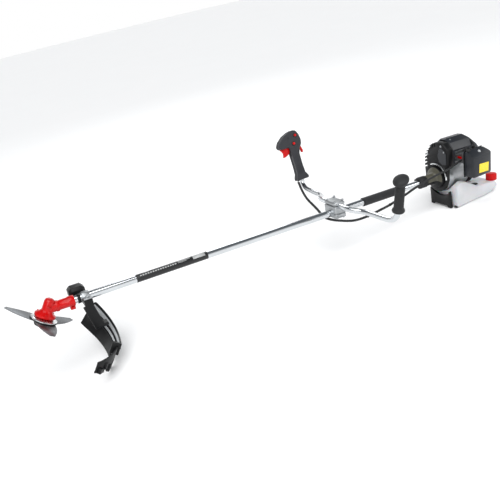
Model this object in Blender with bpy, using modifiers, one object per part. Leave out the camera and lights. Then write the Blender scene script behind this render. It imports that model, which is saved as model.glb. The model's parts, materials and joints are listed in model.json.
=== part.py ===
"""Petrol brush cutter with a bike handlebar and a three-tooth blade, as an assembly of its real pieces.

The machine is laid out along its drive tube: +X runs from the gearhead back to the engine, +Y is the
operator's right and +Z is up.  Lengths in the tables below are millimetres in that tube frame, whose
origin is the point where the tube's axis meets the blade spindle's axis.  The whole tube frame hangs
on one empty that is pitched by the small angle at which the machine rests on level ground.
"""

import math

import bmesh
import bpy
from mathutils import Matrix, Vector

MM = 0.001

# ---- driving dimensions (mm, degrees) ----
TUBE_R, TUBE_WALL = 13.0, 1.6
TUBE_FRONT, TUBE_REAR = 54.0, 1546.0
SHAFT_R = 4.0
GAP = 0.35

SPINDLE_TILT = 32.0
BLADE_R, BLADE_THICK, BLADE_PHASE = 127.5, 2.0, 30.8
BLADE_H = -39.2
ARM_R = 16.5
CAVITY_R = 13.0

GUARD_X0, GUARD_X1 = 112.0, 140.0
GUARD_SWEEP = 51.0

BAR_R, BAR_WALL = 10.5, 1.5
BAR_X, BAR_Z = 1108.0, 31.0
GRIP_X, GRIP_Y = 1160.0, 310.0
GRIP_Z = {1: 53.0, -1: 62.0}
GRIP_LEAN, GRIP_FORWARD = 15.0, 3.0

CYL_X = 1700.0
HOUSING_FRONT, HOUSING_REAR = 1612.0, 1648.0
CASE_FRONT, CASE_REAR = 1649.0, 1733.0
CASE_R = 56.0
STAND_X = 1633.0
CAP_X, CAP_Y, CAP_Z = 1854.0, -60.0, -62.0

FLOOR_Z_FRONT, FLOOR_X_FRONT = -236.0, 118.0
FLOOR_SLOPE = 0.0725
CENTRE_X, CENTRE_Y = 875.7, 5.2


def floor_z(x):
    """Height of the ground under the tube frame's axis at distance x from the gearhead."""
    return FLOOR_Z_FRONT + (x - FLOOR_X_FRONT) * FLOOR_SLOPE


for old in list(bpy.context.scene.objects):
    bpy.data.objects.remove(old, do_unlink=True)

PARTS = bpy.data.collections.new("brush_cutter")
CUTTERS = bpy.data.collections.new("brush_cutter_cutters")
bpy.context.scene.collection.children.link(PARTS)
bpy.context.scene.collection.children.link(CUTTERS)


# ---- finishes ----
FINISHES = {
    "chrome": ((0.80, 0.81, 0.83), 0.12, 1.0),
    "steel": ((0.46, 0.47, 0.48), 0.35, 1.0),
    "dark_steel": ((0.10, 0.10, 0.11), 0.40, 1.0),
    "aluminium": ((0.62, 0.62, 0.62), 0.42, 1.0),
    "grey_case": ((0.20, 0.20, 0.17), 0.45, 0.6),
    "red_paint": ((0.72, 0.012, 0.008), 0.30, 0.0),
    "red_plastic": ((0.75, 0.02, 0.01), 0.35, 0.0),
    "black_plastic": ((0.012, 0.013, 0.015), 0.38, 0.0),
    "handle_grey": ((0.045, 0.048, 0.055), 0.50, 0.0),
    "rubber": ((0.014, 0.014, 0.015), 0.75, 0.0),
    "foam": ((0.030, 0.029, 0.028), 0.90, 0.0),
    "tank_white": ((0.80, 0.80, 0.78), 0.40, 0.0),
    "brass": ((0.60, 0.42, 0.16), 0.30, 1.0),
    "ceramic": ((0.85, 0.85, 0.82), 0.25, 0.0),
}


def give_finish(obj, finish):
    colour, rough, metal = FINISHES[finish]
    mat = bpy.data.materials.new(obj.name)
    mat.use_nodes = True
    shader = mat.node_tree.nodes["Principled BSDF"]
    shader.inputs["Base Color"].default_value = (*colour, 1.0)
    shader.inputs["Roughness"].default_value = rough
    shader.inputs["Metallic"].default_value = metal
    obj.data.materials.append(mat)


# ---- frames that pieces hang on ----
def frame(name, parent=None, at=(0, 0, 0), turn=(0, 0, 0)):
    empty = bpy.data.objects.new(name, None)
    empty.parent = parent
    empty.location = Vector(at) * MM
    empty.rotation_euler = [math.radians(a) for a in turn]
    PARTS.objects.link(empty)
    return empty


PITCH = math.degrees(math.atan(FLOOR_SLOPE))
TUBE = frame("tube_frame", at=(-CENTRE_X, -CENTRE_Y, 0), turn=(0, PITCH, 0))
TUBE.location.z = -floor_z(0) * math.cos(math.radians(PITCH)) * MM
SPINDLE = frame("spindle_frame", TUBE, turn=(0, SPINDLE_TILT, 0))
RIGHT_GRIP = frame("right_grip_frame", TUBE, (GRIP_X, GRIP_Y, GRIP_Z[1]), (-GRIP_LEAN, -GRIP_FORWARD, 0))
LEFT_GRIP = frame("left_grip_frame", TUBE, (GRIP_X, -GRIP_Y, GRIP_Z[-1]), (GRIP_LEAN, -GRIP_FORWARD, 0))
AIR_BOX = frame("air_box_frame", TUBE, (1709, -97, 61), (0, 0, 5))
STAND = frame("stand_frame", TUBE, (STAND_X, -4, floor_z(STAND_X)), (0, -PITCH, 0))

ALONG_X = (0, 90, 0)
ALONG_Y = (-90, 0, 0)


# ---- shape makers; each returns an object hung on a frame ----
def place(name, mesh, parent, at=(0, 0, 0), turn=(0, 0, 0)):
    obj = bpy.data.objects.new(name, mesh)
    obj.parent = parent
    obj.location = Vector(at) * MM
    obj.rotation_euler = [math.radians(a) for a in turn]
    PARTS.objects.link(obj)
    return obj


def from_bmesh(name, bm, parent, at, turn):
    mesh = bpy.data.meshes.new(name)
    bm.to_mesh(mesh)
    bm.free()
    return place(name, mesh, parent, at, turn)


def smooth(obj, angle=40):
    obj.data.shade_smooth()
    obj.data.set_sharp_from_angle(angle=math.radians(angle))
    return obj


def bevel(obj, width, segments=2, angle=40):
    mod = obj.modifiers.new("rounded", "BEVEL")
    mod.width = width * MM
    mod.segments = segments
    mod.limit_method = "ANGLE"
    mod.angle_limit = math.radians(angle)
    return obj


def thicken(obj, thickness, offset):
    """Wall on an open skin; offset -1 puts it all behind the skin and 0 half on each side."""
    mod = obj.modifiers.new("wall", "SOLIDIFY")
    mod.thickness = thickness * MM
    mod.offset = offset
    mod.use_even_offset = True
    return obj


def box(name, size, parent=TUBE, at=(0, 0, 0), turn=(0, 0, 0), round_by=0.0, segments=2):
    bm = bmesh.new()
    bmesh.ops.create_cube(bm, size=1.0)
    bmesh.ops.scale(bm, vec=Vector(size) * MM, verts=bm.verts)
    obj = from_bmesh(name, bm, parent, at, turn)
    if round_by:
        bevel(obj, round_by, segments)
    return obj


def span(name, low, high, parent=TUBE, turn=(0, 0, 0), round_by=0.0, segments=2):
    """Box between two corners, with its origin at its centre."""
    size = [b - a for a, b in zip(low, high)]
    centre = [(a + b) / 2 for a, b in zip(low, high)]
    return box(name, size, parent, centre, turn, round_by, segments)


def cylinder(name, r, depth, parent=TUBE, at=(0, 0, 0), turn=(0, 0, 0), sides=20):
    """Cylinder along local Z, starting at its origin and running depth upwards."""
    bm = bmesh.new()
    lift = Matrix.Translation((0, 0, depth * MM / 2))
    bmesh.ops.create_cone(
        bm, cap_ends=True, segments=sides, radius1=r * MM, radius2=r * MM, depth=depth * MM, matrix=lift
    )
    return smooth(from_bmesh(name, bm, parent, at, turn))


def turned(name, profile, parent=TUBE, at=(0, 0, 0), turn=(0, 0, 0), sides=24):
    """Profile of (radius, height) turned about local Z: outer side listed downwards, bore upwards."""
    mesh = bpy.data.meshes.new(name)
    verts = [(r * MM, 0, h * MM) for r, h in profile]
    count = len(verts)
    closed = profile[0][0] > 0 or profile[-1][0] > 0
    edges = [(i, i + 1) for i in range(count - 1)]
    if closed:
        edges.append((count - 1, 0))
    mesh.from_pydata(verts, edges, [])
    obj = place(name, mesh, parent, at, turn)
    mod = obj.modifiers.new("turned", "SCREW")
    mod.steps = sides
    mod.render_steps = sides
    mod.use_merge_vertices = True
    mod.merge_threshold = 0.00002
    mod.use_smooth_shade = True
    return obj


def ring(name, r_out, r_in, depth, parent=TUBE, at=(0, 0, 0), turn=(0, 0, 0), sides=24):
    """Plain ring along local Z from its origin."""
    profile = [(r_out, depth), (r_out, 0), (r_in, 0), (r_in, depth)]
    return turned(name, profile, parent, at, turn, sides)


def curve_mesh(name, curve):
    """The curve's evaluated solid as a mesh with its caps welded on."""
    temp = bpy.data.objects.new(name + "_curve", curve)
    bpy.context.scene.collection.objects.link(temp)
    graph = bpy.context.evaluated_depsgraph_get()
    mesh = bpy.data.meshes.new_from_object(temp.evaluated_get(graph))
    bpy.data.objects.remove(temp, do_unlink=True)
    bm = bmesh.new()
    bm.from_mesh(mesh)
    bmesh.ops.remove_doubles(bm, verts=bm.verts, dist=0.00001)
    bm.to_mesh(mesh)
    bm.free()
    mesh.name = name
    return mesh


def smooth_route(points, bend_step):
    """Catmull-Rom route through the points, with one sample for every bend_step degrees it turns."""
    pts = [Vector(p) for p in points]
    pts = [pts[0] * 2 - pts[1]] + pts + [pts[-1] * 2 - pts[-2]]
    route = []
    for a, b, c, d in zip(pts, pts[1:], pts[2:], pts[3:]):
        cuts = max(1, math.ceil(math.degrees((c - a).angle(d - b)) / bend_step))
        for i in range(cuts):
            t = i / cuts
            bend = (2 * a - 5 * b + 4 * c - d) * t * t + (3 * b - a - 3 * c + d) * t ** 3
            route.append(0.5 * (2 * b + (c - a) * t + bend))
    route.append(pts[-2])
    return route


def pipe(name, points, r, roundness=3, wall=0.0, bend_step=16):
    """Round bar along a smooth route, or a tube open at both ends when it has a wall."""
    curve = bpy.data.curves.new(name, "CURVE")
    curve.dimensions = "3D"
    curve.bevel_depth = r * MM
    curve.bevel_resolution = roundness
    curve.use_fill_caps = not wall
    route = smooth_route(points, bend_step)
    line = curve.splines.new("POLY")
    line.points.add(len(route) - 1)
    for point, spot in zip(line.points, route):
        point.co = (*(spot * MM), 1)
    obj = smooth(place(name, curve_mesh(name, curve), TUBE))
    if wall:
        thicken(obj, wall, -1.0)
    return obj


def plate(name, outline, thickness, parent=TUBE, at=(0, 0, 0), turn=(0, 0, 0)):
    """Flat outline in local XY, thickened equally to both sides."""
    curve = bpy.data.curves.new(name, "CURVE")
    curve.dimensions = "2D"
    curve.fill_mode = "BOTH"
    curve.extrude = thickness / 2 * MM
    line = curve.splines.new("POLY")
    line.points.add(len(outline) - 1)
    line.use_cyclic_u = True
    for point, (x, y) in zip(line.points, outline):
        point.co = (x * MM, y * MM, 0, 1)
    mesh = curve_mesh(name, curve)
    bm = bmesh.new()
    bm.from_mesh(mesh)
    bmesh.ops.dissolve_limit(bm, angle_limit=0.01, verts=bm.verts, edges=bm.edges)
    bm.to_mesh(mesh)
    bm.free()
    return place(name, mesh, parent, at, turn)


def arc(cx, cy, r, start, end, count):
    """Points on a circle from start to end degrees."""
    turns = [math.radians(start + (end - start) * i / (count - 1)) for i in range(count)]
    return [(cx + r * math.cos(a), cy + r * math.sin(a)) for a in turns]


def combine(obj, operation, others):
    for other in others:
        PARTS.objects.unlink(other)
        CUTTERS.objects.link(other)
        other.hide_render = True
        other.display_type = "WIRE"
        mod = obj.modifiers.new(other.name, "BOOLEAN")
        mod.operation = operation
        mod.solver = "EXACT"
        mod.object = other
    return obj


def join(obj, *others):
    return combine(obj, "UNION", others)


def cut(obj, *others):
    return combine(obj, "DIFFERENCE", others)


# ---- drive tube, shaft and its bush ----
def drive_line():
    length = TUBE_REAR - TUBE_FRONT
    start = (TUBE_FRONT, 0, 0)
    tube = ring("main_tube", TUBE_R, TUBE_R - TUBE_WALL, length, at=start, turn=ALONG_X, sides=24)
    give_finish(tube, "chrome")
    shaft = cylinder("drive_shaft", SHAFT_R, 1524, at=(49.5, 0, 0), turn=ALONG_X, sides=12)
    give_finish(shaft, "steel")
    bush_out = TUBE_R - TUBE_WALL - GAP
    bush = ring("shaft_bush", bush_out, SHAFT_R + GAP, 32, at=(760, 0, 0), turn=ALONG_X, sides=16)
    give_finish(bush, "brass")


# ---- gearhead ----
def gearhead():
    body_profile = [
        (0, 38), (8, 37), (14, 33.5), (17, 27), (17, -3), (23, -10), (34, -17), (34, -24), (0, -24),
    ]
    housing = turned("gearhead_housing", body_profile, SPINDLE, sides=24)
    arm = cylinder("gearhead_arm", ARM_R, 90, at=(-2, 0, 0), turn=ALONG_X)
    collar = cylinder("gearhead_collar", 18.6, 8, at=(28, 0, 0), turn=ALONG_X)
    mouth = cylinder("gearhead_mouth", 18.2, 20, at=(68, 0, 0), turn=ALONG_X)
    boss = span("gearhead_boss", (70, -9, -27), (86, 9, -14))
    join(housing, arm, collar, mouth, boss)
    cavity = cylinder("gearhead_cavity", CAVITY_R, 60, SPINDLE, (0, 0, -30))
    pinion_bore = cylinder("gearhead_pinion_bore", 11.4, 60, at=(2, 0, 0), turn=ALONG_X)
    bore_start = (TUBE_FRONT - 1, 0, 0)
    tube_bore = cylinder("gearhead_tube_bore", TUBE_R + GAP, 60, at=bore_start, turn=ALONG_X, sides=24)
    bolt_bore = cylinder("gearhead_bolt_bore", 2.7, 40, at=(78, -20, -20.5), turn=ALONG_Y, sides=12)
    split = span("gearhead_split", (69, -1.2, -30), (92, 1.2, -8))
    cut(housing, cavity, pinion_bore, tube_bore, bolt_bore, split)
    give_finish(housing, "red_paint")

    screw = cylinder("gearhead_clamp_screw", 2.3, 24, at=(78, -12, -20.5), turn=ALONG_Y, sides=12)
    head = cylinder("gearhead_screw_head", 4.2, 4, at=(78, -13.6, -20.5), turn=ALONG_Y, sides=6)
    give_finish(join(screw, head), "dark_steel")

    pinion_profile = [(5, 37), (5, 8), (8.6, 7), (6.0, 0), (0, 0)]
    pinion = turned("pinion_gear", [(0, 37)] + pinion_profile, at=(12.2, 0, 0), turn=ALONG_X, sides=20)
    give_finish(pinion, "steel")

    gear_profile = [(8.0, -7.5), (12.4, -10.0), (12.4, -14.0), (5.0 + GAP, -14.0), (5.0 + GAP, -7.5)]
    give_finish(turned("output_gear", gear_profile, SPINDLE, sides=20), "steel")
    lower = ring("spindle_bearing", CAVITY_R - GAP, 5.0 + GAP, 8, SPINDLE, (0, 0, -23), sides=20)
    give_finish(lower, "steel")
    give_finish(cylinder("output_spindle", 5.0, 72, SPINDLE, (0, 0, -58), sides=16), "steel")


# ---- blade and what clamps it ----
def blade_outline():
    """Three tapering arms with concave flanks between a round hub and blunt tips."""
    points = []
    hub_r, tip_half = 38.0, 3.6
    for k in range(3):
        tip = BLADE_PHASE + 120 * k
        for side in (-1, 1):
            flank = []
            for i in range(6):
                t = i / 5
                r = hub_r * (1 - t) ** 2 + 2 * 47.0 * t * (1 - t) + BLADE_R * t * t
                a = 60 * (1 - t) ** 2 + 2 * 24.0 * t * (1 - t) + tip_half * t * t
                turn = math.radians(tip + side * a)
                flank.append((r * math.cos(turn), r * math.sin(turn)))
            points += flank[1:] if side < 0 else flank[::-1]
    return points


def blade_set():
    seat = BLADE_H + BLADE_THICK / 2 + GAP
    adapter_profile = [
        (19, -25.5), (43, -32.5), (43, -36.5), (30, seat), (12.3, seat), (12.3, seat - 1.8),
        (5.0 + GAP, seat - 1.8), (5.0 + GAP, -25.5),
    ]
    give_finish(turned("blade_adapter", adapter_profile, SPINDLE, sides=28), "steel")
    blade = plate("cutting_blade", blade_outline(), BLADE_THICK, SPINDLE, (0, 0, BLADE_H))
    cut(blade, cylinder("blade_bore", 12.7, 10, SPINDLE, (0, 0, BLADE_H - 5), sides=24))
    give_finish(blade, "steel")
    under = BLADE_H - BLADE_THICK / 2 - GAP
    washer_profile = [
        (31, under), (31, under - 3), (25, under - 15), (22, under - 15), (14, under - 5),
        (5.0 + GAP, under - 5), (5.0 + GAP, under),
    ]
    give_finish(turned("clamp_washer", washer_profile, SPINDLE, sides=28), "black_plastic")
    nut = ring("blade_nut", 9.5, 5.0 + GAP, 8, SPINDLE, (0, 0, under - 5 - GAP - 8), sides=6)
    cut(nut, cylinder("blade_nut_bore", 5.0 + GAP, 20, SPINDLE, (0, 0, under - 20), sides=16))
    give_finish(nut, "steel")


# ---- guard behind the blade ----
def hub_point(theta, r, h):
    """Point at angle theta (0 is straight back, positive towards the operator's left), radius and height."""
    turn = math.radians(theta)
    return Vector((r * math.cos(turn), -r * math.sin(turn), BLADE_H + h)) * MM


def shell(name, stations, thickness, parent):
    """Open skin lofted through rows of points, then thickened both ways."""
    bm = bmesh.new()
    rows = [[bm.verts.new(p) for p in row] for row in stations]
    for a, b in zip(rows, rows[1:]):
        for i in range(len(a) - 1):
            bm.faces.new((a[i], a[i + 1], b[i + 1], b[i]))
    bmesh.ops.recalc_face_normals(bm, faces=bm.faces)
    return thicken(smooth(from_bmesh(name, bm, parent, (0, 0, 0), (0, 0, 0))), thickness, 0.0)


def guard():
    clamp = span("guard_clamp", (GUARD_X0, -34, GAP / 2), (GUARD_X1, 30, 6), round_by=1.5, segments=1)
    hump = cylinder("guard_clamp_hump", 18.5, GUARD_X1 - GUARD_X0 - 4, at=(GUARD_X0 + 2, 0, 0), turn=ALONG_X)
    below = span("guard_clamp_below", (GUARD_X0 - 5, -40, -30), (GUARD_X1 + 5, 40, GAP / 2))
    join(clamp, hump)
    cut(clamp, below)
    bore = dict(turn=ALONG_X, sides=24)
    cut(clamp, cylinder("guard_clamp_bore", TUBE_R + GAP, 60, at=(GUARD_X0 - 5, 0, 0), **bore))
    give_finish(clamp, "chrome")

    mount = span("guard_mount", (GUARD_X0, -34, -22), (GUARD_X1, 34, -GAP / 2))
    wing = span("guard_mount_wing", (82, 30.6, -14), (GUARD_X1 - 3, 80, 24), round_by=10, segments=1)
    hanger_spot = dict(at=(132, -27, -65), turn=(0, -14, 0))
    hanger = box("guard_mount_hanger", (34, 8, 92), round_by=2, segments=1, **hanger_spot)
    web = span("guard_mount_web", (126, -30, -112), (172, 0, -100), round_by=2, segments=1)
    join(mount, wing, hanger, web)
    cut(mount, cylinder("guard_mount_bore", TUBE_R + GAP, 80, at=(80, 0, 0), **bore))
    bolt = cylinder("guard_bolt", 3.0, 22, at=(126, -26, -14), sides=12)
    bolt_way = cylinder("guard_bolt_way", 3.0 + GAP, 60, at=(126, -26, -16), sides=12)
    bolt_way_2 = cylinder("guard_bolt_way_2", 3.0 + GAP, 60, at=(126, -26, -16), sides=12)
    cut(clamp, bolt_way)
    cut(mount, bolt_way_2)
    join(bolt, cylinder("guard_bolt_head", 5.6, 5, at=(126, -26, 6 + GAP), sides=6))
    give_finish(mount, "black_plastic")
    give_finish(bolt, "steel")

    stations = []
    count = 12
    for i in range(count):
        s = i / (count - 1)
        theta = -32 + GUARD_SWEEP * s
        foot = hub_point(theta, 185 + 50 * s, -19 - 42 * s ** 0.8)
        ridge = hub_point(theta, 197 + 40 * s, 20 - 38 * s)
        groove = hub_point(theta, 207 + 37 * s, 33 - 44 * s)
        crest = hub_point(theta, 221 + 34 * s, 58 - 64 * s)
        lip = hub_point(theta, 229 + 30 * s, 44 - 66 * s)
        stations.append([foot, ridge, groove, crest, lip])
    apron = shell("guard_body", stations, 3.2, SPINDLE)
    give_finish(apron, "black_plastic")

    stations = []
    count = 9
    for i in range(count):
        s = i / (count - 1)
        theta = GUARD_SWEEP - 31.5 + 27 * s
        r = 248 - 6 * s - 20 * s * s
        drop = -90.5 + 6 * s
        rows = [hub_point(theta, r, -8 - 40 * s), hub_point(theta, r + 1, -60), hub_point(theta, r, drop)]
        stations.append(rows)
    extension = shell("guard_extension", stations, 4.0, SPINDLE)
    notch = box("guard_extension_notch", (40, 22, 26), SPINDLE, hub_point(34, 238, -90) / MM, (0, 0, -34))
    cut(extension, notch)
    give_finish(extension, "black_plastic")
    knife = box("line_cutter", (2, 34, 14), SPINDLE, hub_point(40, 227.4, -66) / MM, (0, 0, -58.4))
    give_finish(knife, "steel")


# ---- handlebar and its clamp ----
def grip_spot(side, height):
    """Point on a grip's axis, height mm above its base."""
    lean, forward = math.radians(GRIP_LEAN), math.radians(GRIP_FORWARD)
    across, up = math.sin(lean), math.cos(lean)
    step = Vector((-up * math.sin(forward), side * across, up * math.cos(forward)))
    return tuple(Vector((GRIP_X, side * GRIP_Y, GRIP_Z[side])) + step * height)


def half_path(side):
    """Right or left half of the bar, from beside the clamp to its end inside the grip."""
    bends = [
        (BAR_X, 44, BAR_Z), (BAR_X, 84, BAR_Z), (BAR_X + 10, 108, BAR_Z - 3), (BAR_X + 28, 132, BAR_Z - 7),
        (BAR_X + 38, 162, BAR_Z - 9), (BAR_X + 41, 210, BAR_Z - 9), (BAR_X + 43, 262, BAR_Z - 8),
        (BAR_X + 47, 288, BAR_Z - 2), (GRIP_X - 1, 302, GRIP_Z[side] - 19),
    ]
    risers = [grip_spot(side, height) for height in (0, 24, 50, 76, 102)]
    return [(x, side * y, z) for x, y, z in bends] + risers


def handlebar():
    points = half_path(-1)[::-1] + [(BAR_X, 0, BAR_Z)] + half_path(1)
    bar = pipe("handlebar", points, BAR_R, roundness=4, wall=BAR_WALL, bend_step=18)
    give_finish(bar, "chrome")

    x0, x1 = BAR_X - 23, BAR_X + 25
    base = span("handlebar_clamp_base", (x0, -36, -17), (x1, 36, -GAP / 2), round_by=3, segments=1)
    rounded = dict(round_by=3, segments=1)
    middle = span("handlebar_clamp_middle", (x0, -36, GAP / 2), (x1, 36, BAR_Z - GAP / 2), **rounded)
    rounded["round_by"] = 5
    cap = span("handlebar_clamp_cap", (x0, -36, BAR_Z + GAP / 2), (x1, 36, BAR_Z + 16), **rounded)
    for part, names in ((base, ("tube",)), (middle, ("tube", "bar")), (cap, ("bar",))):
        if "tube" in names:
            spot = (x0 - 10, 0, 0)
            cut(part, cylinder(part.name + "_tube_bore", TUBE_R + GAP, 70, at=spot, turn=ALONG_X, sides=24))
        if "bar" in names:
            spot = (BAR_X, -60, BAR_Z)
            cut(part, cylinder(part.name + "_bar_bore", BAR_R + GAP, 120, at=spot, turn=ALONG_Y, sides=20))
        for side in (-1, 1):
            spot = (BAR_X + 18.5, side * 27, -40)
            cut(part, cylinder(f"{part.name}_way_{side}", 3.0 + GAP, 110, at=spot, sides=12))
        give_finish(part, "aluminium")
    for side, name in ((1, "right"), (-1, "left")):
        bolt = cylinder(f"handlebar_bolt_{name}", 3.0, 72, at=(BAR_X + 18.5, side * 27, -22), sides=12)
        head = cylinder(f"bolt_head_{name}", 5.4, 6, at=(BAR_X + 18.5, side * 27, BAR_Z + 16 + GAP), sides=6)
        join(bolt, head)
        give_finish(bolt, "steel")


# ---- grips and the throttle handle ----
HANDLE_OUTLINE = [
    (-25, 0), (30, 0), (31, 9), (20, 27), (18, 62), (19, 108), (26, 128), (39, 142), (43, 160), (39, 184),
    (31, 201), (15, 207), (-5, 203), (-33, 192), (-55, 175), (-66, 159), (-64, 148), (-55, 143), (-20, 142),
    (-17, 112), (-16.5, 62), (-18, 27), (-26, 9),
]


def handle_half(name, side):
    """One half of the throttle handle; local X is backwards, Z is up along the grip."""
    half = plate(name, HANDLE_OUTLINE, 16.5, RIGHT_GRIP, (0, side * (8.25 + 0.2), 0), (90, 0, 0))
    bevel(half, 3.0, 1, 30)
    bar_bore = cylinder(name + "_bore", BAR_R + 1.2, 112, RIGHT_GRIP, (0, 0, -4), sides=20)
    finger = box(name + "_trigger_bay", (50, 16, 62), RIGHT_GRIP, (-34, 0, 135))
    lever = box(name + "_lever_bay", (30, 12, 58), RIGHT_GRIP, (31, 0, 128))
    switches = box(name + "_switch_bay", (36, 24, 44), RIGHT_GRIP, (10, 0, 174))
    cable_way = cylinder(name + "_cable_way", 4.0, 60, RIGHT_GRIP, (-3, 0, 104), sides=12)
    cut(half, bar_bore, finger, lever, switches, cable_way)
    give_finish(half, "handle_grey")
    return half


def grips():
    grip_profile = [
        (0, 136), (12, 135), (22, 131), (27, 124), (25, 116), (18, 110), (16.6, 50), (17.4, 16),
        (21, 10), (22.5, 5), (21, 0), (BAR_R + 1.2, 0), (BAR_R + 1.2, 108), (0, 108),
    ]
    give_finish(turned("left_grip", grip_profile, LEFT_GRIP, sides=20), "rubber")
    near = handle_half("throttle_handle_inner", -1)
    handle_half("throttle_handle_outer", 1)

    trigger_outline = [
        (4, 4), (-4, 5), (-30, 3), (-37, -3), (-31, -11), (-27, -19), (-27, -28), (-32, -36), (-25, -38),
        (-12, -34), (-2, -29), (3, -20), (4, -8), (5, -3),
    ]
    trigger = plate("throttle_trigger", trigger_outline, 11, RIGHT_GRIP, (-22, 0, 146), (90, 0, 0))
    bevel(trigger, 1.5, 1, 50)
    give_finish(trigger, "red_plastic")

    lever_outline = [(0, 4), (-5, 3), (-5, -3), (4, -16), (9, -40), (16, -43), (18, -31), (12, -8), (5, 2)]
    lever = plate("throttle_lock_lever", lever_outline, 9, RIGHT_GRIP, (26, 0, 148), (90, 0, 0))
    give_finish(lever, "red_plastic")

    for name, x, z in (("stop_button", 20, 184), ("throttle_hold_button", 4, 153)):
        button = cylinder(name, 5.2, 13, RIGHT_GRIP, (x, -21.5, z), (-90, 0, 0), sides=16)
        cut(near, cylinder(name + "_way", 5.2 + GAP, 30, RIGHT_GRIP, (x, -26, z), (-90, 0, 0), sides=16))
        give_finish(button, "red_plastic")


# ---- cables and the foam sleeve ----
def cables():
    loom = [
        (1140, 304, 46), (1136, 290, 34), (1124, 250, 17), (1112, 200, 2), (1094, 110, -10), (1080, 40, -22),
        (1083, 0, -24), (1100, -36, -25), (1150, -58, -34), (1214, -60, -35), (1276, -55, -30),
        (1329, -50, -25), (1408, -45, -9), (1462, -40, 3), (1498, -37, 8),
    ]
    give_finish(pipe("cable_loom", loom, 4.6), "black_plastic")
    throttle = [
        (1498.8, -37, 8.2), (1530, -38, 17), (1570, -50, 31), (1606, -71, 46), (1640, -76, 60),
        (1674, -80, 71),
    ]
    give_finish(pipe("throttle_cable", throttle, 3.4, roundness=2), "handle_grey")
    sleeve = ring("foam_sleeve", 17.0, TUBE_R + GAP, 196, at=(1236, 0, 0), turn=ALONG_X, sides=24)
    give_finish(sleeve, "foam")


# ---- clutch, fan housing and crankcase ----
def clutch_end():
    mount = ring("tube_clamp", 24, TUBE_R + GAP, 30, at=(1518, 0, 0), turn=ALONG_X, sides=24)
    ear = span("tube_clamp_ear", (1522, 18, -9), (1546, 32, 9))
    join(mount, ear)
    cut(mount, cylinder("tube_clamp_bore", TUBE_R + GAP, 60, at=(1510, 0, 0), turn=ALONG_X, sides=24))
    give_finish(mount, "rubber")

    case_profile = [
        (44.5, 78), (44.5, 73), (54.0, 73), (54.0, 69.5), (44.5, 69.5), (44.5, 50), (28.0, 44), (21.5, 36),
        (21.5, 0), (9.0, 0), (9.0, 48), (41.0, 52), (41.0, 78),
    ]
    give_finish(turned("clutch_case", case_profile, at=(1551, 0, 0), turn=ALONG_X, sides=28), "grey_case")

    drum_profile = [(0, 7), (36, 7), (36, 20), (39, 20), (39, 4), (6, 0), (6, -30), (0, -30)]
    give_finish(turned("clutch_drum", drum_profile, at=(1604, 0, 0), turn=ALONG_X, sides=24), "dark_steel")
    rotor = cylinder("clutch_rotor", 34, 10, at=(1612.5, 0, 0), turn=ALONG_X, sides=24)
    cut(rotor, cylinder("clutch_rotor_bore", 7.5 + GAP, 30, at=(1600, 0, 0), turn=ALONG_X, sides=16))
    give_finish(rotor, "steel")


def housing_outline(inset):
    """Front view of the fan housing: a bowl round the flywheel that rises over the cylinder."""
    near, far, top = 64 - inset, 70 - inset, 147 - inset
    bowl = arc(0, 0, 61 - inset, 205, 318, 8)
    shoulder = arc(-14, 63, top - 63, 8, 88, 8)
    return bowl + [(far - 4, -8), (far, 30)] + shoulder + [(-36, top - 3), (-near, top - 24), (-near, -4)]


def extruded_x(name, outline, x0, x1):
    """Outline given as (Y, Z) run along the tube's axis from x0 to x1."""
    return plate(name, outline, x1 - x0, at=((x0 + x1) / 2, 0, 0), turn=(90, 0, 90))


def fan_end():
    housing = extruded_x("fan_housing", housing_outline(0), HOUSING_FRONT, HOUSING_REAR)
    bevel(housing, 7, 2, 60)
    hollow = extruded_x("fan_housing_hollow", housing_outline(3.5), HOUSING_FRONT + 8, HOUSING_REAR + 10)
    mouth = cylinder("fan_housing_mouth", 45.2, 40, at=(HOUSING_FRONT - 10, 0, 0), turn=ALONG_X, sides=28)
    near_gap = span("fan_housing_near_gap", (HOUSING_FRONT + 12, -90, -58), (HOUSING_REAR + 10, -20, 52))
    cut(housing, hollow, mouth, near_gap)
    for i in range(10):
        turn_deg = -18 + 10.5 * i
        angle = math.radians(turn_deg)
        spot = (HOUSING_FRONT + 6, -14 + 80 * math.cos(angle), 63 + 80 * math.sin(angle))
        lean = -24.6 if turn_deg < 48 else turn_deg
        cut(housing, box(f"fan_slot_{i}", (20, 27, 5.5), at=spot, turn=(lean, 0, 0)))
    give_finish(housing, "black_plastic")

    fan = cylinder("flywheel_fan", 42, 7, at=(1636, 0, 0), turn=ALONG_X, sides=24)
    for i in range(6):
        vane = box(f"fan_vane_{i}", (5, 20, 2.5), at=(1639.5, 0, 0), turn=(60 * i, 0, 0))
        vane.location += Matrix.Rotation(math.radians(60 * i), 3, "X") @ Vector((0, 40 * MM, 0))
        join(fan, vane)
    cut(fan, cylinder("flywheel_bore", 7.5 + GAP, 30, at=(1625, 0, 0), turn=ALONG_X, sides=16))
    give_finish(fan, "aluminium")


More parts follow.
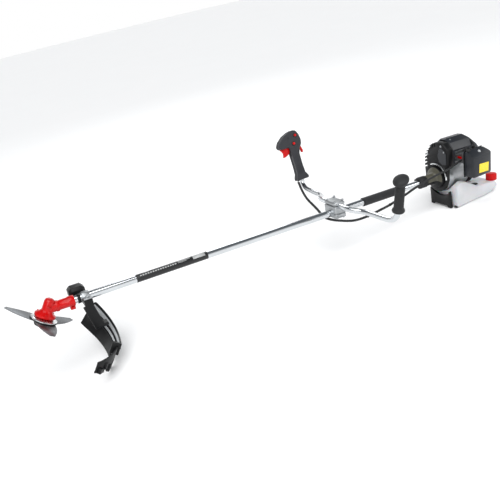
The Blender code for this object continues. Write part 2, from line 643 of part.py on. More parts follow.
def power_unit():
    case_spot = dict(at=(CASE_FRONT, 0, 0), turn=ALONG_X)
    case = cylinder("crankcase", CASE_R, CASE_REAR - CASE_FRONT, sides=32, **case_spot)
    deck = span("crankcase_deck", (CASE_FRONT, -40, 0), (CASE_REAR - 2, 40, 57.5), round_by=3, segments=1)
    nose = cylinder("crankcase_nose", CASE_R + 3, 26, at=(CASE_FRONT - 24, 0, 0), turn=ALONG_X, sides=32)
    bore_spot = dict(at=(CASE_FRONT - 60, 0, 0), turn=ALONG_X)
    nose_bore = cylinder("crankcase_nose_bore", CASE_R - 2, 60, sides=32, **bore_spot)
    nose_side = span("crankcase_nose_side", (CASE_FRONT - 30, -21, -70), (CASE_FRONT + 10, 70, 70))
    nose_top = span("crankcase_nose_top", (CASE_FRONT - 30, -70, 51), (CASE_FRONT + 10, 0, 70))
    cut(nose, nose_bore, nose_side, nose_top)
    join(case, deck, nose)
    chamber = cylinder("crank_chamber", 42, 46, at=(CYL_X - 23, 0, 0), turn=ALONG_X, sides=28)
    skirt = cylinder("crankcase_skirt_bore", 22.5, 80, at=(CYL_X, 0, 10), sides=24)
    front_spot = dict(at=(CASE_FRONT - 20, 0, 0), turn=ALONG_X)
    front = cylinder("crankcase_front_bore", 7.5 + GAP, 140, sides=16, **front_spot)
    cut(case, chamber, skirt, front)
    give_finish(case, "aluminium")

    shaft = cylinder("crankshaft", 7.5, 70, at=(1613, 0, 0), turn=ALONG_X, sides=16)
    web_front = cylinder("crank_web_front", 32, 10, at=(CYL_X - 20, 0, 0), turn=ALONG_X, sides=24)
    web_rear = cylinder("crank_web_rear", 32, 10, at=(CYL_X + 10, 0, 0), turn=ALONG_X, sides=24)
    pin = cylinder("crank_pin", 6, 24, at=(CYL_X - 12, 17, 0), turn=ALONG_X, sides=16)
    tail = cylinder("crank_tail", 7.5, 48, at=(CYL_X + 18, 0, 0), turn=ALONG_X, sides=16)
    join(shaft, web_front, web_rear, pin, tail)
    give_finish(shaft, "steel")

    cylinder_body = cylinder("cylinder", 26, 62, at=(CYL_X, 0, 58), sides=20)
    for i in range(4):
        fin = box(f"cylinder_fin_{i}", (76, 82, 3), at=(CYL_X, 0, 70 + 14 * i))
        join(cylinder_body, fin)
    intake = span("intake_stub", (CYL_X - 15, -58, 62), (CYL_X + 15, -20, 84))
    exhaust = span("exhaust_stub", (CYL_X - 15, 20, 62), (CYL_X + 15, 50, 84))
    join(cylinder_body, intake, exhaust)
    cut(cylinder_body, cylinder("cylinder_bore", 20.0, 52, at=(CYL_X, 0, 50), sides=24))
    cut(cylinder_body, cylinder("plug_hole", 5.4, 40, at=(CYL_X, 0, 95), sides=12))
    give_finish(cylinder_body, "aluminium")

    piston_profile = [(0, 16), (19.7, 16), (19.7, -14), (16.5, -14), (16.5, 11), (0, 11)]
    give_finish(turned("piston", piston_profile, at=(CYL_X, 0, 66), sides=24), "aluminium")

    plug_profile = [(0, 26), (6.5, 26), (6.5, 8), (8.5, 7), (8.5, 0.4), (5.0, 0.4), (5.0, -16), (0, -16)]
    give_finish(turned("spark_plug", plug_profile, at=(CYL_X, 0, 120), sides=16), "ceramic")


def cover_outline(inset):
    """Front view of the cylinder cover, which leans from a ridge down to both sides."""
    foot = 44 - 8 * inset
    points = [(-55, foot), (-56, 112), (-40, 140), (-12, 153), (16, 150), (48, 122), (62, 88), (64, foot)]
    centre = Vector((4, 70))
    shrink = 1 - inset / 60
    return [tuple(centre + (Vector(p) - centre) * shrink) for p in points]


def engine_cover():
    x0, x1 = HOUSING_REAR + 1, 1790
    cover = extruded_x("engine_cover", cover_outline(0), x0, x1)
    bevel(cover, 5, 1, 50)
    back = box("engine_cover_back", (110, 160, 60), at=(1784, 0, 150), turn=(0, 52, 0))
    under = span("engine_cover_under", (1736, -70, 30), (1800, 80, 64))
    inner = extruded_x("engine_cover_hollow", cover_outline(3.4), x0 - 10, x1 - 4)
    inner_back = box("engine_cover_inner_back", (110, 160, 60), at=(1780, 0, 146), turn=(0, 52, 0))
    cut(inner, inner_back)
    window = span("engine_cover_window", (1662, -70, 30), (1737, -36, 106))
    exhaust_window = span("engine_cover_exhaust_window", (1662, 42, 30), (1744, 80, 112))
    cut(cover, back, under, inner, window, exhaust_window)
    give_finish(cover, "black_plastic")

    muffler = span("muffler", (1672, 51, 48), (1738, 100, 104), round_by=8, segments=2)
    outlet = cylinder("muffler_outlet", 7, 14, at=(1732, 86, 62), turn=ALONG_X, sides=16)
    join(muffler, outlet)
    outlet_bore = cylinder("muffler_outlet_bore", 5, 30, at=(1722, 86, 62), turn=ALONG_X, sides=16)
    inside = span("muffler_inside", (1675, 54, 51), (1735, 97, 101))
    cut(muffler, inside, outlet_bore)
    give_finish(muffler, "dark_steel")


# ---- intake side ----
def intake_side():
    body = span("carburettor", (1684, -88, 52), (1722, -58.5, 92), round_by=2, segments=1)
    throat = cylinder("carburettor_throat", 7, 60, at=(CYL_X, -110, 73), turn=ALONG_Y, sides=16)
    primer_recess = cylinder("carburettor_primer_recess", 10.5, 17, at=(1703, -74, 40))
    cut(body, throat, primer_recess)
    give_finish(body, "aluminium")
    arm_outline = [(-4, -4), (4, -4), (5, 12), (3, 17), (-3, 17)]
    arm = plate("carburettor_throttle_arm", arm_outline, 2.4, at=(1682.2, -66, 76), turn=(0, -90, 0))
    give_finish(arm, "steel")
    bulb_profile = [(0, 12), (5, 11), (8.5, 7), (9.5, 0), (0, 0)]
    bulb = turned("primer_bulb", bulb_profile, at=(1703, -74, 51.6), turn=(180, 0, 0), sides=16)
    give_finish(bulb, "red_plastic")
    lever_outline = [(-5, -5), (5, -5), (5, 26), (9, 34), (5, 41), (-7, 41), (-9, 34), (-5, 26)]
    lever = plate("choke_lever", lever_outline, 1.8, at=(1727, -89.6, 78), turn=(90, 0, 0))
    give_finish(lever, "black_plastic")

    base = box("air_filter_base", (92, 5, 90), AIR_BOX, (0, 0.5, 0), round_by=2, segments=1)
    hole = cylinder("air_base_hole", 9, 30, AIR_BOX, (-9, -15, 12), ALONG_Y, sides=16)
    cut(base, hole)
    give_finish(base, "black_plastic")
    element = box("air_filter_element", (80, 20, 76), AIR_BOX, (0, -13, 0), round_by=3, segments=1)
    give_finish(element, "foam")
    cover = box("air_filter_cover", (104, 54, 104), AIR_BOX, (0, -30, 0), round_by=10, segments=2)
    cavity = box("air_cover_cavity", (96, 54, 96), AIR_BOX, (0, -26, 0), round_by=6, segments=1)
    roof_slope = 22.9
    roof = box("air_cover_roof", (130, 90, 40), AIR_BOX, (0, -42.3, 60.9), (roof_slope, 0, 0))
    ceiling = box("air_cover_ceiling", (130, 90, 40), AIR_BOX, (0, -40.7, 57.2), (roof_slope, 0, 0))
    cut(cavity, ceiling)
    cut(cover, roof, cavity)
    give_finish(cover, "black_plastic")


# ---- starter, tank and stand ----
def rear_end():
    starter_profile = [
        (0, 44), (30, 44), (50, 38), (58, 26), (58, 1), (54, 1), (54, 24), (47, 34), (28, 40), (0, 40),
    ]
    starter = turned("recoil_starter", starter_profile, at=(1734, 0, 0), turn=ALONG_X, sides=28)
    for i in range(6):
        turn_deg = 60 * i + 30
        spot = Matrix.Rotation(math.radians(turn_deg), 3, "X") @ Vector((0, 36, 0))
        slot = box(f"starter_slot_{i}", (30, 16, 5), at=(1775, spot.y, spot.z), turn=(turn_deg, 0, 0))
        cut(starter, slot)
    give_finish(starter, "black_plastic")
    handle = box("starter_handle", (14, 13, 34), at=(1748, 70, 16), round_by=5, segments=2)
    rope = cylinder("starter_rope", 2, 108, at=(1748, -42, 16), turn=ALONG_Y, sides=8)
    join(handle, rope)
    cut(starter, cylinder("starter_rope_way", 3.2, 30, at=(1748, 38, 16), turn=ALONG_Y, sides=12))
    give_finish(handle, "black_plastic")

    x0, x1 = STAND_X + 8, 1864
    side_view = [
        (x0 + 4, floor_z(x0) + 1.5), (1796, floor_z(1796) + 1.5), (1838, -104), (x1, -86), (x1, -74),
        (1846, -63), (1752, -57), (1716, -38), (1690, -23), (x0 + 24, -20), (x0 + 2, -38),
    ]
    middle = Vector((1752, -84))
    inner_view = [tuple(middle + Vector(((x - 1752) * 0.962, (z + 84) * 0.87))) for x, z in side_view]
    tank = plate("fuel_tank", side_view, 144, at=(0, -12, 0), turn=(90, 0, 0))
    bevel(tank, 8, 2, 60)
    inside = plate("fuel_tank_inside", inner_view, 136, at=(0, -12, 0), turn=(90, 0, 0))
    neck = cylinder("fuel_tank_neck", 15, 20, at=(CAP_X, CAP_Y, CAP_Z - 4), sides=20)
    join(tank, neck)
    cut(tank, cylinder("fuel_tank_saddle", 64, 147, at=(1635, 0, 0), turn=ALONG_X, sides=32))
    cut(inside, cylinder("fuel_tank_inside_saddle", 68, 155, at=(1635, 0, 0), turn=ALONG_X, sides=32))
    opening = cylinder("fuel_tank_opening", 11.5, 50, at=(CAP_X, CAP_Y, CAP_Z - 24), sides=20)
    cut(tank, inside, opening)
    give_finish(tank, "tank_white")

    cap_profile = [(0, 27), (19, 27), (22, 24), (22, 2), (15.6, 2), (15.6, 20), (0, 20)]
    give_finish(turned("fuel_cap", cap_profile, at=(CAP_X, CAP_Y, CAP_Z), sides=28), "red_plastic")

    stand_outline = (
        [(-58, 0), (-42, 0), (-34, 7), (34, 7), (42, 0), (58, 0), (56, 72), (49, 72)]
        + arc(-4, 126, 77, 312, 236, 9) + [(-50, 72), (-56, 72)]
    )
    stand = plate("stand_bracket", stand_outline, 11, STAND, (0, 0, 0), (90, 0, 90))
    give_finish(stand, "black_plastic")


drive_line()
gearhead()
blade_set()
guard()
handlebar()
grips()
cables()
clutch_end()
fan_end()
power_unit()
engine_cover()
intake_side()
rear_end()
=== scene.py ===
import json
import math

import bmesh
import bpy
from mathutils import Euler, Matrix, Vector


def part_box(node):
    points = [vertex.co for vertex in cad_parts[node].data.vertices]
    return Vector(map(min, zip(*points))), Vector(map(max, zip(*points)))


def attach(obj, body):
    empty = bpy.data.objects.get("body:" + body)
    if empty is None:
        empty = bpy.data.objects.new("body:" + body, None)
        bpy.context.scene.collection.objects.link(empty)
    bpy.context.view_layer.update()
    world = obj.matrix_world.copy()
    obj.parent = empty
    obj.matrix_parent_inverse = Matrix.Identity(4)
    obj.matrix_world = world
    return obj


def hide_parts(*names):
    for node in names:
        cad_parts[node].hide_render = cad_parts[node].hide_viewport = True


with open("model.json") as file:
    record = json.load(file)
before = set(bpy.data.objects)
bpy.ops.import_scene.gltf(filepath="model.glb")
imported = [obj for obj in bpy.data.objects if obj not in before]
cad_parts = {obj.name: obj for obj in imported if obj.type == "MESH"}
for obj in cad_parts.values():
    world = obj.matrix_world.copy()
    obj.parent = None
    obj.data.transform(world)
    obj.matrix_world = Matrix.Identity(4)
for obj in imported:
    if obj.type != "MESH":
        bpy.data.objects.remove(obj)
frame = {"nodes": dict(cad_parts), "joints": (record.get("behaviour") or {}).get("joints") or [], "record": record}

bl_info = {
    "name": "Petrol brush cutter",
    "version": (1, 0, 0),
    "blender": (4, 5, 0),
    "location": "3D View > Sidebar > Brush cutter",
    "description": "Finishes, fine parts and a studio for a petrol brush cutter",
    "category": "Object",
}

MM = 0.001


# ---- frames the parts are measured in -------------------------------------------------

def turned_to(at=(0, 0, 0), turn=(0, 0, 0)):
    """A frame moved by millimetres and turned by degrees."""
    turning = Euler([math.radians(a) for a in turn]).to_matrix().to_4x4()
    return Matrix.Translation(Vector(at) * MM) @ turning


def joint(name):
    return next(j for j in frame["joints"] if j["name"] == name)


SHAFT_MARK = 0.8  # the drive shaft's joint stands this far along the tube, in metres
PITCH = -math.degrees(math.asin(joint("shaft_spin")["axis"][2]))
TUBE_START = Vector(joint("shaft_spin")["pos_m"]) - SHAFT_MARK * Vector(joint("shaft_spin")["axis"])
TUBE = Matrix.Translation(TUBE_START) @ turned_to(turn=(0, PITCH, 0))
SPINDLE = TUBE @ turned_to(turn=(0, 32, 0))
RIGHT_GRIP = TUBE @ turned_to((1160, 310, 53), (-15, -3, 0))
LEFT_GRIP = TUBE @ turned_to((1160, -310, 62), (15, -3, 0))
AIR_BOX = TUBE @ turned_to((1709, -97, 61), (0, 0, 5))
ALONG_X = (0, 90, 0)
ALONG_NEAR = (90, 0, 0)
TOP_OF_TUBE = 180  # where a spin along the tube passes its top, on its way to the near side
TUBE_R = 13.0
TUBE_BORE_R = 11.4
BLADE_H = -39.2
NECK_END = 1600  # olive paint ends here along the tube
PAINTED_SHADE_BELOW = -6  # and at this height on the neck, with black below as painted shade on the neck's underside
HOUSING_FRONT = 1610.9

BODY_OF = {node: body for body, nodes in frame["record"]["behaviour"]["bodies"].items()
           for node in nodes}


# ---- colours and sizes a user would change ----------------------------------------------

def linear(hex_colour):
    """An sRGB hex colour as linear red, green, blue and alpha."""
    parts = [int(hex_colour[i:i + 2], 16) / 255 for i in (1, 3, 5)]
    return [p / 12.92 if p <= 0.04045 else ((p + 0.055) / 1.055) ** 2.4 for p in parts] + [1.0]


def colour(name, hex_colour, description):
    return bpy.props.FloatVectorProperty(name=name, description=description, subtype="COLOR",
                                         size=4, min=0, max=1, default=linear(hex_colour))


def length(name, default, description):
    return bpy.props.FloatProperty(name=name, description=description, default=default * MM,
                                   min=0, unit="LENGTH", subtype="DISTANCE")


class CutterColours(bpy.types.PropertyGroup):
    chrome: colour("Chrome", "#D6D9DC", "Plated tube and handlebar")
    blade: colour("Blade steel", "#6C6F72", "Ground spring steel")
    casting: colour("Casting", "#B2B5B7", "Die-cast aluminium")
    enamel: colour("Gearhead enamel", "#C60202", "Baked red enamel")
    red: colour("Red nylon", "#C80202", "Trigger, lever, buttons and cap")
    black: colour("Black nylon", "#0B0C0E", "Covers, guard and stand")
    panel: colour("Engine panel", "#181C23", "Flat panels of the engine's housing")
    handle: colour("Handle nylon", "#202228", "Throttle handle")
    rubber: colour("Rubber", "#17181A", "Left grip and buffers")
    foam: colour("Foam", "#1E1F22", "Carrying sleeve")
    tank: colour("Tank", "#CDCED1", "Blow-moulded polyethylene")
    olive: colour("Clutch case paint", "#4C4A3D", "Satin paint on the clutch case")
    label: colour("Label", "#F0D31E", "Plain yellow film")
    patch: colour("Patch", "#B2B4B4", "Plain pale patches on the sleeve")
    ceramic: colour("Ceramic", "#EFECE4", "Spark plug insulator")
    brass: colour("Brass", "#B08D4A", "Sintered bronze bush and brass parts")


class CutterSizes(bpy.types.PropertyGroup):
    edge: length("Moulded edge", 0.9, "Rounding of the moulded covers' edges")
    cast_edge: length("Cast edge", 0.8, "Rounding of the castings' edges")
    fine_edge: length("Fine edge", 0.35, "Rounding of screws and levers")
    tank_edge: length("Tank edge", 6.0, "Rounding of the blow-moulded tank")
    loom_pitch: length("Loom pitch", 3.4, "Spacing of the loom's rings")
    grip_pitch: length("Grip pitch", 6.5, "Spacing of the left grip's rings")


# ---- finishes -----------------------------------------------------------------------------

def add(tree, kind, inputs=None, links=None, **settings):
    """Adds one node with its settings, its values and what feeds it."""
    node = tree.nodes.new(kind)
    for name, value in settings.items():
        setattr(node, name, value)
    for key, value in (inputs or {}).items():
        node.inputs[key].default_value = value
    for key, source in (links or {}).items():
        tree.links.new(source, node.inputs[key])
    return node


def darker(tone, share):
    return [c * share for c in tone[:3]] + [1.0]


def surface(name, tone, shade, roughness, grain, depth, patch=60.0, stretch=(1, 1, 1), **values):
    """A finish of one tone with broad worn patches and a fine grain, both sized in millimetres.

    shade is how dark the patches go, depth the grain's height and stretch draws the grain out."""
    material = bpy.data.materials.new(name)
    material.use_nodes = True
    tree = material.node_tree
    tree.nodes.clear()
    where = add(tree, "ShaderNodeTexCoord")
    drawn = add(tree, "ShaderNodeMapping", {"Scale": stretch}, {"Vector": where.outputs["Object"]})
    fine = add(tree, "ShaderNodeTexNoise", {"Scale": 1 / (grain * MM), "Detail": 3.0},
               {"Vector": drawn.outputs[0]})
    broad = add(tree, "ShaderNodeTexNoise", {"Scale": 1 / (patch * MM), "Detail": 4.0},
                {"Vector": where.outputs["Object"]})
    worn = add(tree, "ShaderNodeMapRange", {"From Min": 0.3, "From Max": 0.7},
               {"Value": broad.outputs[0]})
    mixed = add(tree, "ShaderNodeMix", {6: darker(tone, shade), 7: tone}, {0: worn.outputs[0]},
                data_type="RGBA")
    rough = add(tree, "ShaderNodeMapRange",
                {"From Min": 0.3, "From Max": 0.7, "To Min": roughness[0], "To Max": roughness[1]},
                {"Value": fine.outputs[0]})
    bump = add(tree, "ShaderNodeBump", {"Distance": depth * MM}, {"Height": fine.outputs[0]})
    shader = add(tree, "ShaderNodeBsdfPrincipled", values,
                 {"Base Color": mixed.outputs[2], "Roughness": rough.outputs[0],
                  "Normal": bump.outputs[0]})
    add(tree, "ShaderNodeOutputMaterial", None, {"Surface": shader.outputs[0]})
    return material


FINISH = {}


def mix_finishes(c):
    """Every finish, from what the real one is made of, with one painted highlight for the guard's bands."""
    # Chrome plate over drawn tube: mirror-like, with faint draw lines along the tube
    FINISH["chrome"] = surface("Chrome_plated_tube", c.chrome, 0.92, (0.07, 0.13), 2.5, 0.004,
                               stretch=(0.03, 1, 1), Metallic=1.0)
    # Rolled spring steel with a ground face: satin, with streaks coarser than real grinding
    FINISH["blade"] = surface("Ground_spring_steel", c.blade, 0.7, (0.28, 0.46), 1.6, 0.03,
                              patch=35, stretch=(1, 0.08, 1), Metallic=1.0)
    # Die-cast aluminium, shot-blasted: grey sparkle from a one millimetre grain
    FINISH["casting"] = surface("Cast_aluminium", c.casting, 0.72, (0.36, 0.55), 1.2, 0.10,
                                patch=30, Metallic=1.0)
    # Bright zinc on machine screws and washers
    FINISH["screw"] = surface("Zinc_plated_steel", linear("#B9BCBE"), 0.75, (0.2, 0.36), 1.5,
                              0.02, patch=12, Metallic=1.0)
    # Baked enamel: wet gloss with a slight orange peel two millimetres across
    FINISH["enamel"] = surface("Baked_red_enamel", c.enamel, 0.78, (0.24, 0.34), 2.2, 0.02,
                               patch=45, **{"Specular IOR Level": 0.22, "Coat Weight": 0.25,
                                            "Coat Roughness": 0.08})
    # Glass-filled nylon, moulded in red: soft gloss and a spark-eroded grain
    FINISH["red"] = surface("Moulded_red_nylon", c.red, 0.8, (0.3, 0.42), 0.9, 0.03, patch=20,
                            **{"Specular IOR Level": 0.25})
    # Glass-filled nylon, moulded in black: half-matt grain, lighter where it rubs
    FINISH["black"] = surface("Moulded_black_nylon", c.black, 0.62, (0.3, 0.48), 1.1, 0.05,
                              patch=50, **{"Specular IOR Level": 0.26})
    FINISH["panel"] = surface("Moulded_graphite_nylon", c.panel, 0.7, (0.3, 0.44), 1.0, 0.04,
                              patch=45)
    # Painted highlight: light grey on two bands along the guard, standing in for the white reflections on its
    # glossy ribbed top
    FINISH["band"] = surface("Painted_highlight_grey_nylon", linear("#A8ABAD"), 0.8, (0.2, 0.32), 1.6,
                             0.03, patch=40)
    FINISH["handle"] = surface("Moulded_grey_nylon", c.handle, 0.75, (0.42, 0.58), 0.9, 0.06,
                               patch=40)
    # Nitrile rubber: dull and slightly dusty
    FINISH["rubber"] = surface("Moulded_rubber", c.rubber, 0.65, (0.55, 0.75), 1.4, 0.08,
                               patch=25)
    # Closed-cell foam: no gloss, cells drawn two millimetres wide to show
    FINISH["foam"] = surface("Closed_cell_foam", c.foam, 0.6, (0.85, 0.98), 2.0, 0.35, patch=18,
                             **{"Sheen Weight": 0.15})
    # Blow-moulded polyethylene: milky, lets a little light through its wall
    FINISH["tank"] = surface("Blow_moulded_polyethylene", c.tank, 0.86, (0.32, 0.45), 3.0, 0.05,
                             patch=70, **{"Subsurface Weight": 0.35, "Subsurface Scale": 0.008})
    # Satin olive-grey paint on cast metal
    FINISH["olive"] = surface("Satin_olive_paint", c.olive, 0.75, (0.38, 0.5), 1.6, 0.05,
                              patch=30)
    # Printed polyester film, left plain
    FINISH["label"] = surface("Yellow_polyester_film", c.label, 0.93, (0.22, 0.3), 2.5, 0.01,
                              patch=20, **{"Coat Weight": 0.3})
    # Pale vinyl film, left plain
    FINISH["patch"] = surface("Pale_vinyl_film", c.patch, 0.82, (0.3, 0.4), 1.5, 0.01, patch=8)
    # Shrunk vinyl sleeve: thin, smooth, with a soft gloss
    FINISH["vinyl"] = surface("Black_vinyl_sleeve", linear("#141517"), 0.8, (0.26, 0.36), 2.0,
                              0.03, patch=25)
    FINISH["ceramic"] = surface("Glazed_ceramic", c.ceramic, 0.93, (0.12, 0.2), 2.0, 0.01,
                                patch=10)
    FINISH["brass"] = surface("Sintered_bronze", c.brass, 0.7, (0.38, 0.52), 1.0, 0.05,
                              patch=14, Metallic=1.0)
    # Blackened steel: oil-dark with brown patches
    FINISH["dark"] = surface("Blackened_steel", linear("#3B3A3A"), 0.6, (0.35, 0.5), 1.4, 0.05,
                             patch=20, Metallic=1.0)
    # Polished aluminium: the crankcase's front edge, the blade adapter and the air box's screw
    FINISH["lip"] = surface("Polished_cast_edge", linear("#E3E5E6"), 0.85, (0.18, 0.3), 1.5,
                            0.02, patch=15, Metallic=1.0)


# ---- making pieces --------------------------------------------------------------------------

def piece(name, bm, finish, body="frame", stands_for=(), soften=0.0, crease=38, wall=0.0,
          middle=False, closed=True):
    """Makes a bmesh in the row frame a finished piece that rides on a body."""
    if closed:
        bmesh.ops.remove_doubles(bm, verts=bm.verts, dist=1e-6)
        bmesh.ops.recalc_face_normals(bm, faces=bm.faces)
    mesh = bpy.data.meshes.new(name)
    bm.to_mesh(mesh)
    bm.free()
    mesh.shade_smooth()
    obj = bpy.data.objects.new(name, mesh)
    bpy.context.scene.collection.objects.link(obj)
    mesh.materials.append(FINISH[finish])
    if wall:
        shell = obj.modifiers.new("wall", "SOLIDIFY")
        shell.thickness, shell.offset = wall * MM, 0.0 if middle else 1.0
    if soften:
        rounding = obj.modifiers.new("edges", "BEVEL")
        rounding.width, rounding.segments = soften, 2
        rounding.limit_method, rounding.angle_limit = "ANGLE", math.radians(crease)
        rounding.harden_normals = True
    else:
        mesh.set_sharp_from_angle(angle=math.radians(crease))
    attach(obj, body)
    if stands_for:
        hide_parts(*stands_for)
    return obj


def put(bm, parent, at=(0, 0, 0), turn=(0, 0, 0)):
    """Places a shape made in millimetres."""
    bm.transform(parent @ turned_to(at, turn) @ Matrix.Scale(MM, 4))
    return bm


def welded(node):
    """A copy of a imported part's mesh, merged, with its flat faces whole."""
    bm = bmesh.new()
    bm.from_mesh(frame["nodes"][node].data)
    bmesh.ops.remove_doubles(bm, verts=bm.verts, dist=1e-6)
    bmesh.ops.dissolve_limit(bm, angle_limit=math.radians(1), verts=bm.verts, edges=bm.edges)
    return bm


def refined(finish, soften, *nodes, crease=38):
    """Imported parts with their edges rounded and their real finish."""
    for node in nodes:
        piece(node + "_finished", welded(node), finish, BODY_OF[node], (node,), soften, crease,
              closed=False)


def dressed(finish, *nodes):
    """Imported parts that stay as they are, in their real finish."""
    for node in nodes:
        mesh = frame["nodes"][node].data
        mesh.materials.clear()
        mesh.materials.append(FINISH[finish])


def turned(profile, sides=48, sweep=360.0, start=0.0):
    """A profile of (radius, height) points spun round Z."""
    bm = bmesh.new()
    verts = [bm.verts.new((r, 0, h)) for r, h in profile]
    edges = [bm.edges.new(pair) for pair in zip(verts, verts[1:])]
    bmesh.ops.rotate(bm, verts=verts, cent=(0, 0, 0),
                     matrix=Matrix.Rotation(math.radians(start), 3, "Z"))
    bmesh.ops.spin(bm, geom=verts + edges, cent=(0, 0, 0), axis=(0, 0, 1),
                   angle=math.radians(sweep), steps=sides, use_merge=sweep == 360.0)
    bmesh.ops.remove_doubles(bm, verts=bm.verts, dist=1e-4)
    return bm


def block(size, round_by=1.0, segments=2):
    """A block with rounded edges, centred."""
    bm = bmesh.new()
    bmesh.ops.create_cube(bm, size=1)
    bmesh.ops.scale(bm, vec=size, verts=bm.verts)
    bmesh.ops.bevel(bm, geom=bm.edges, offset=round_by, segments=segments, profile=0.5,
                    affect="EDGES", material=-1)
    return bm


def slab(outline, thickness):
    """An outline of (x, z) points drawn out along Y, centred."""
    bm = bmesh.new()
    face = bm.faces.new([bm.verts.new((x, -thickness / 2, z)) for x, z in outline])
    drawn = bmesh.ops.extrude_face_region(bm, geom=[face])["geom"]
    bmesh.ops.translate(bm, vec=(0, thickness, 0),
                        verts=[g for g in drawn if isinstance(g, bmesh.types.BMVert)])
    return bm


def eased(points, step):
    """A smooth line through points, with a point about every step."""
    line = [Vector(p) for p in points]
    line = [2 * line[0] - line[1]] + line + [2 * line[-1] - line[-2]]
    out = []
    for a, b, c, d in zip(line, line[1:], line[2:], line[3:]):
        count = max(1, round((c - b).length / step))
        for i in range(count):
            t = i / count
            out.append(0.5 * (2 * b + (c - a) * t + (2 * a - 5 * b + 4 * c - d) * t * t
                              + (3 * b - a - 3 * c + d) * t ** 3))
    return out + [line[-2]]


def swept(route, radii, sides=12):
    """A round bar along a route, with a radius at every point, closed at its ends."""
    bm = bmesh.new()
    heading = (route[1] - route[0]).normalized()
    place = Matrix.Translation(route[0]) @ heading.to_track_quat("Z", "Y").to_matrix().to_4x4()
    bmesh.ops.create_circle(bm, cap_ends=True, radius=radii[0], segments=sides, matrix=place)
    caps = list(bm.faces)
    last = len(route) - 1
    for i in range(1, last + 1):
        drawn = bmesh.ops.extrude_face_region(bm, geom=caps)["geom"]
        caps = [g for g in drawn if isinstance(g, bmesh.types.BMFace)]
        ahead = (route[min(i + 1, last)] - route[i - 1]).normalized()
        turning = heading.rotation_difference(ahead)
        for v in (g for g in drawn if isinstance(g, bmesh.types.BMVert)):
            v.co = route[i] + turning @ (v.co - route[i - 1]) * (radii[i] / radii[i - 1])
        heading = ahead
    return bm


def rod(name, finish, route, radius, sides=12, body="frame", stands_for=(), parent=TUBE):
    """A plain round bar, wire or bead along a smooth route."""
    bm = swept(route, [radius] * len(route), sides)
    return piece(name, put(bm, parent), finish, body, stands_for, crease=60)


def screw(name, parent, at, turn, r=3.6, body="frame", finish="screw"):
    """A cap screw's head with a round socket, standing on its place."""
    bm = turned([(0, r * 0.35), (r * 0.5, r * 0.35), (r * 0.5, r), (r * 0.86, r), (r, r * 0.84),
                 (r, 0), (r * 1.5, 0), (r * 1.5, -0.8), (0, -0.8)], 18)
    return piece(name, put(bm, parent, at, turn), finish, body)


# ---- operators ----------------------------------------------------------------------------------

class MakeTube(bpy.types.Operator):
    """The main tube, its vinyl sleeve with plain patches, and the foam carrying sleeve"""
    bl_idname = "cutter.tube"
    bl_label = "Tube and sleeves"

    def execute(self, context):
        ring = [(TUBE_BORE_R, 0.4), (11.8, 0), (12.6, 0), (TUBE_R, 0.4), (TUBE_R, 1491.6),
                (12.6, 1492), (11.8, 1492), (TUBE_BORE_R, 1491.6), (TUBE_BORE_R, 0.4)]
        piece("main_tube_drawn", put(turned(ring, 64), TUBE, (54, 0, 0), ALONG_X), "chrome",
              stands_for=("main_tube",))
        sleeve = [(13.02, 0), (13.4, 0), (13.5, 0.4), (13.5, 263.6), (13.4, 264), (13.02, 264),
                  (13.02, 0)]
        piece("label_sleeve", put(turned(sleeve, 64), TUBE, (300, 0, 0), ALONG_X), "vinyl")
        patches = [(508, 554, -12, 62)] + [(314 + 9 * i, 320 + 9 * i, 28, 48) for i in range(15)]
        patches += [(452, 498, -4, 8), (452, 498, 18, 28), (452, 484, 38, 44), (326, 352, -6, 6)]
        for i, (x0, x1, low, high) in enumerate(patches):
            strip = turned([(13.52, x0), (13.52, x1)], 12, high - low, TOP_OF_TUBE + low)
            piece(f"sleeve_patch_{i:02d}", put(strip, TUBE, turn=ALONG_X), "patch", wall=0.08,
                  closed=False)
        foam = [(13.1, 0), (15.6, 0), (16.6, 0.6), (17, 1.8)]
        foam += [(17 - 0.25 * (i % 2), 1.8 + 6 * i) for i in range(1, 32)]
        foam += [(17, 194.2), (16.6, 195.4), (15.6, 196), (13.1, 196), (13.1, 0)]
        sleeve = piece("foam_sleeve_soft", put(turned(foam, 40), TUBE, (1236, 0, 0), ALONG_X),
                       "foam", stands_for=("foam_sleeve",), crease=60)
        collar = [(13.1, 0), (15.4, 0), (15.9, 1), (15.9, 9), (15.4, 10), (13.1, 10), (13.1, 0)]
        piece("tube_collar", put(turned(collar, 40), TUBE, (98, 0, 0), ALONG_X), "black")
        return {"FINISHED"}


class MakeGearhead(bpy.types.Operator):
    """The red gearhead with its screws, plug, bearing and bush"""
    bl_idname = "cutter.gearhead"
    bl_label = "Gearhead"

    def execute(self, context):
        sizes = context.scene.cutter_sizes
        refined("enamel", sizes.cast_edge, "gearhead_housing", crease=30)
        refined("enamel", sizes.fine_edge, "gearhead_clamp_screw")
        dressed("dark", "spindle_bearing", "pinion_gear", "output_gear", "drive_shaft")
        dressed("brass", "shaft_bush")
        screw("grease_plug", SPINDLE, (0, -16.8, 14), ALONG_NEAR, 4.2, finish="enamel")
        flange_r, flange_top = 28.5, -13.6
        for i, turn in enumerate((20, 140, 260)):
            a = math.radians(turn)
            screw(f"housing_screw_{i}", SPINDLE,
                  (flange_r * math.cos(a), flange_r * math.sin(a), flange_top),
                  (0, 0, 0), 2.2, finish="enamel")
        return {"FINISHED"}


class MakeBladeSet(bpy.types.Operator):
    """The three-tooth blade with its adapter, washer, nut and spindle"""
    bl_idname = "cutter.blade_set"
    bl_label = "Blade set"

    def execute(self, context):
        sizes = context.scene.cutter_sizes
        refined("blade", sizes.fine_edge, "cutting_blade")
        refined("lip", sizes.fine_edge, "blade_adapter")
        refined("screw", sizes.fine_edge, "blade_nut", "output_spindle")
        refined("dark", sizes.fine_edge, "clamp_washer")
        ring = [(43.1, -34.6), (44, -34.8), (44.2, -37), (43, -37.7), (40, -37.7), (40, -37),
                (43.1, -36.7), (43.1, -34.6)]
        piece("adapter_ring", put(turned(ring, 64), SPINDLE), "rubber", "blade_set")
        return {"FINISHED"}


